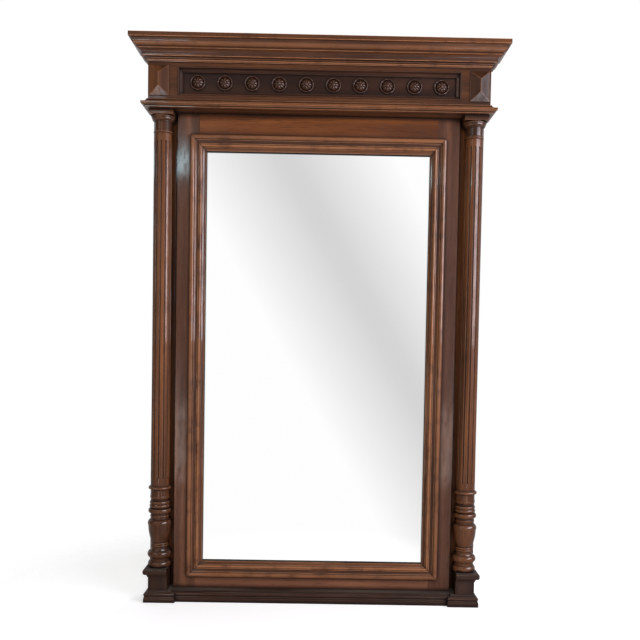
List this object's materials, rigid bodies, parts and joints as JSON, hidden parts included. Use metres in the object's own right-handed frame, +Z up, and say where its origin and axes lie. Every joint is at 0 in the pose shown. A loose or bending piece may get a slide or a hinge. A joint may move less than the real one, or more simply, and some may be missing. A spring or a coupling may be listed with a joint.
{
  "type": "trumeau mirror",
  "caption": "Tall mirror in a walnut architectural frame with moulded cornice, carved frieze, fluted columns on turned feet, plinths and a boarded back held by turn buttons.",
  "frame": {"origin": "centre of the bounding box's footprint at floor level, under the base mouldings", "axes": "+X to the viewer's right, -Y out of the mirror towards the viewer, +Y to the wall, +Z up"},
  "size_m": [1.086, 0.154, 1.65],
  "materials": {
    "walnut_board": "waxed gloss",
    "walnut_frame": "waxed gloss",
    "walnut_moulding": "waxed gloss",
    "walnut_turned": "waxed gloss",
    "walnut_carved": "waxed gloss",
    "back_wood": "raw, aged",
    "button_wood": "oiled",
    "mirror_plate": "silvered plate",
    "steel": "dull",
    "screw_steel": "dull"
  },
  "bodies": {
    "mirror": {"plate_screws": "screw_steel", "post_left": "walnut_board", "post_right": "walnut_board", "hanging_plate_left": "steel", "hanging_plate_right": "steel", "pivot_screws": "screw_steel", "frame_stile_left": "walnut_frame", "frame_stile_right": "walnut_frame", "frame_rail_top": "walnut_frame", "frame_rail_bottom": "walnut_frame", "mirror_moulding_bottom": "walnut_moulding", "mirror_moulding_right": "walnut_moulding", "mirror_moulding_top": "walnut_moulding", "mirror_moulding_left": "walnut_moulding", "mirror_glass": "mirror_plate", "glass_blocks": "back_wood", "back_battens": "back_wood", "batten_screws": "screw_steel", "back_board_1": "back_wood", "back_board_2": "back_wood", "back_board_3": "back_wood", "base_rail": "walnut_board", "base_moulding_centre": "walnut_moulding", "plinth_block_left": "walnut_board", "base_moulding_left": "walnut_moulding", "cap_moulding_left": "walnut_moulding", "plinth_block_right": "walnut_board", "base_moulding_right": "walnut_moulding", "cap_moulding_right": "walnut_moulding", "column_foot_left": "walnut_turned", "column_capital_left": "walnut_turned", "column_shaft_left": "walnut_turned", "abacus_left": "walnut_board", "column_foot_right": "walnut_turned", "column_capital_right": "walnut_turned", "column_shaft_right": "walnut_turned", "abacus_right": "walnut_board", "frieze_board": "walnut_board", "frieze_panel": "walnut_carved", "recess_moulding_long": "walnut_moulding", "recess_moulding_short": "walnut_moulding", "frieze_side_left": "walnut_board", "frieze_side_right": "walnut_board", "soffit_board": "walnut_board", "top_board": "back_wood", "glue_blocks": "back_wood", "diamond_block_left": "walnut_carved", "diamond_block_right": "walnut_carved", "frieze_rosettes": "walnut_carved", "architrave_front": "walnut_moulding", "architrave_return_left": "walnut_moulding", "architrave_return_right": "walnut_moulding", "crown_front": "walnut_moulding", "crown_return_left": "walnut_moulding", "crown_return_right": "walnut_moulding"},
    "button_lower_left": {"turn_button_lower_left": "button_wood"},
    "button_upper_left": {"turn_button_upper_left": "button_wood"},
    "button_lower_right": {"turn_button_lower_right": "button_wood"},
    "button_upper_right": {"turn_button_upper_right": "button_wood"}
  },
  "joints": [
    {"name": "button_lower_left_turn", "type": "hinge", "parent": "mirror", "child": "button_lower_left", "pos_m": [-0.407, 0.0668, 0.394], "axis": [0, 1, 0], "range_deg": [-90, 90]},
    {"name": "button_upper_left_turn", "type": "hinge", "parent": "mirror", "child": "button_upper_left", "pos_m": [-0.407, 0.0668, 1.066], "axis": [0, 1, 0], "range_deg": [-90, 90]},
    {"name": "button_lower_right_turn", "type": "hinge", "parent": "mirror", "child": "button_lower_right", "pos_m": [0.407, 0.0668, 0.394], "axis": [0, 1, 0], "range_deg": [-90, 90]},
    {"name": "button_upper_right_turn", "type": "hinge", "parent": "mirror", "child": "button_upper_right", "pos_m": [0.407, 0.0668, 1.066], "axis": [0, 1, 0], "range_deg": [-90, 90]}
  ]
}
